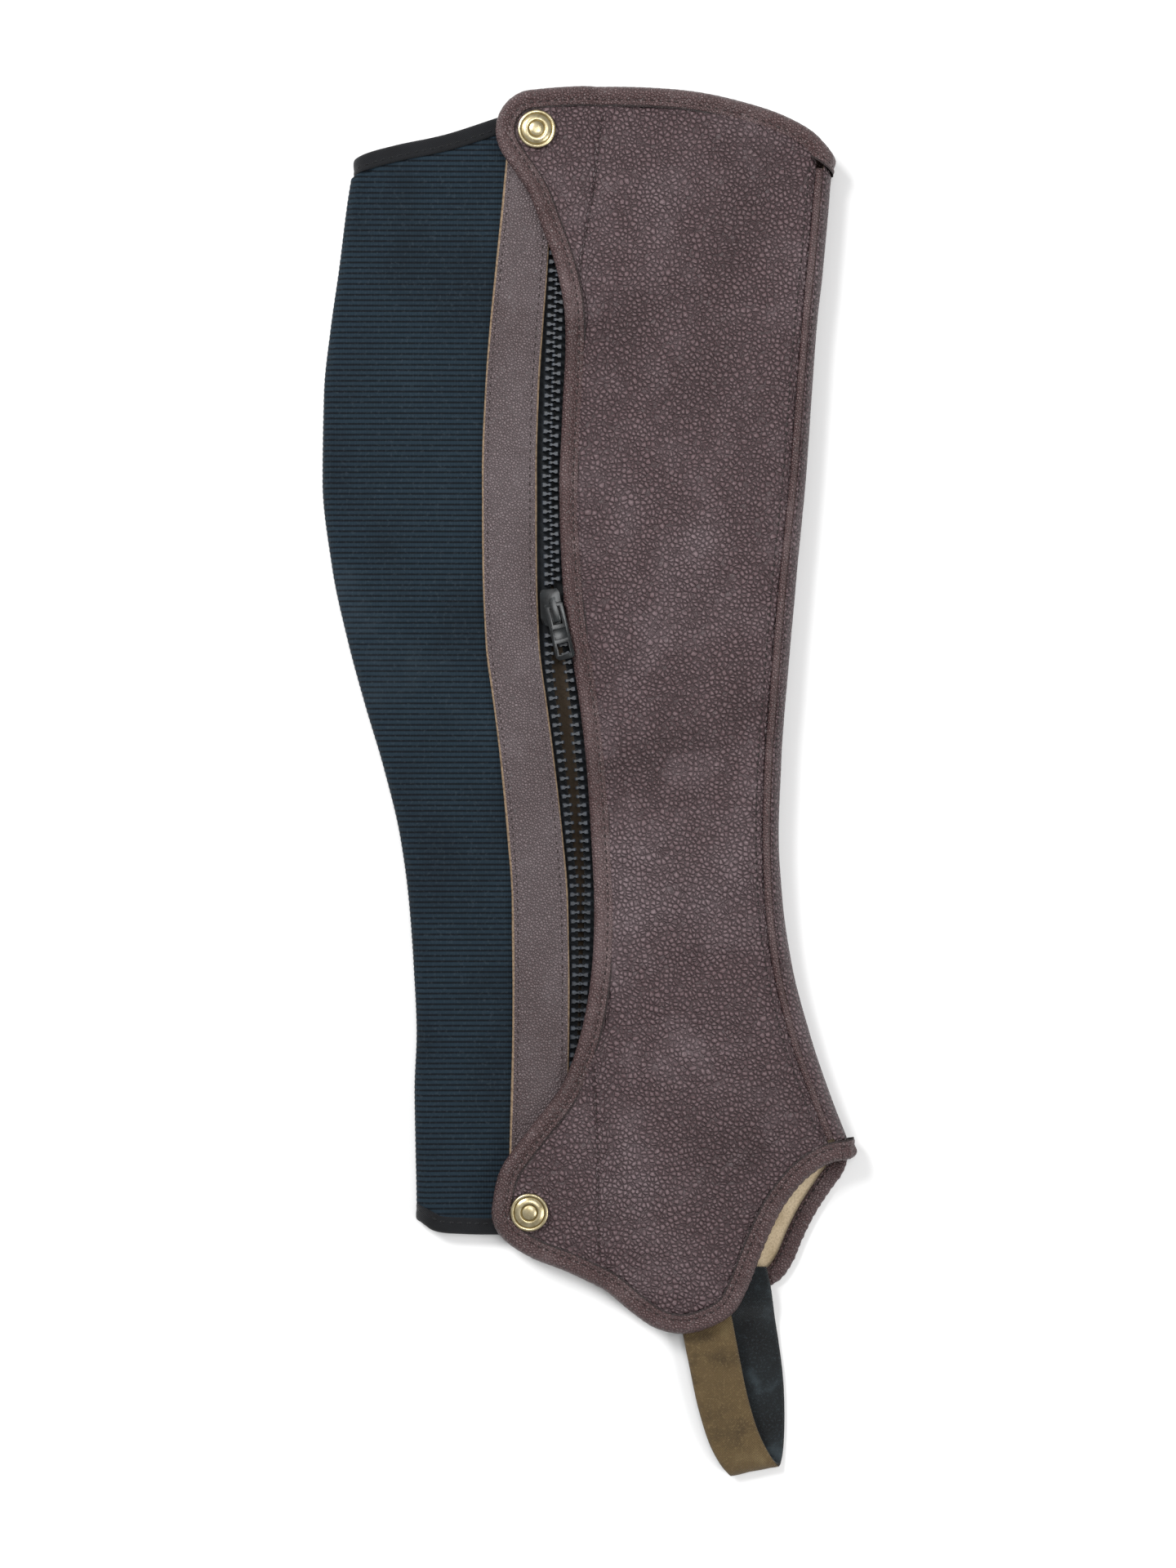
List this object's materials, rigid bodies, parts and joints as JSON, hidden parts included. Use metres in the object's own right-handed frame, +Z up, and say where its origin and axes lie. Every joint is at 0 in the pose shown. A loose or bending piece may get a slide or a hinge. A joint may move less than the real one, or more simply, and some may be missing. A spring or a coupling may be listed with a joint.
{
  "type": "half chap",
  "caption": "Leather half chap for the lower leg, laid flat: outer panel with zip flap and press studs, ribbed elastic back, foot strap.",
  "frame": {"origin": "centre of the bounding box at the surface that the half chap lies on", "axes": "+Y up the leg from foot to knee, +X from the elastic back towards the shin, +Z up from the surface through the outer side"},
  "size_m": [0.182, 0.4758, 0.0127],
  "materials": {
    "leather_outer": "pebbled full-grain leather, purple brown, low sheen, suede flesh side",
    "leather_inner": "pebbled full-grain leather outside, tan suede inside",
    "leather_strip": "smoother grained leather with a pale raw edge",
    "leather_binding": "thin smooth leather rolled over the edge, stitched",
    "elastic_ribbed": "ribbed elastic, navy black, fine cross ribs",
    "elastic_edge": "black bound edge of the elastic",
    "zip_tape": "black woven zip tape",
    "zip_teeth": "moulded black plastic teeth",
    "zip_metal": "glossy black enamelled metal",
    "strap_elastic": "olive brown woven elastic outside, black plush inside",
    "snap_brass": "antique brass, softly polished",
    "suede_inside": "tan suede flesh side of the leather",
    "thread": "dark brown sewing thread"
  },
  "bodies": {
    "root": {"outer_panel": "leather_outer", "inner_panel": "leather_inner", "front_welt": "leather_binding", "binding_outer": "leather_binding", "binding_inner_top": "leather_binding", "binding_inner_bottom": "leather_binding", "elastic_panel": "elastic_ribbed", "elastic_binding_top": "elastic_edge", "elastic_binding_bottom": "elastic_edge", "zip_strip": "leather_strip", "zip_tape_back": "zip_tape", "zip_tape_front": "zip_tape", "zip_chain": "zip_teeth", "zip_row_back": "zip_teeth", "zip_row_front": "zip_teeth", "zip_slider": "zip_metal", "foot_strap": "strap_elastic", "snap_cap_top": "snap_brass", "snap_cap_bottom": "snap_brass"},
    "pull": {"zip_pull": "zip_metal"}
  },
  "joints": [
    {"name": "zip_pull_hinge", "type": "hinge", "parent": "root", "child": "pull", "pos_m": [-0.01174, 0.0608, 0.0102], "axis": [-0.9737, -0.228, 0], "range_deg": [0, 160]}
  ]
}
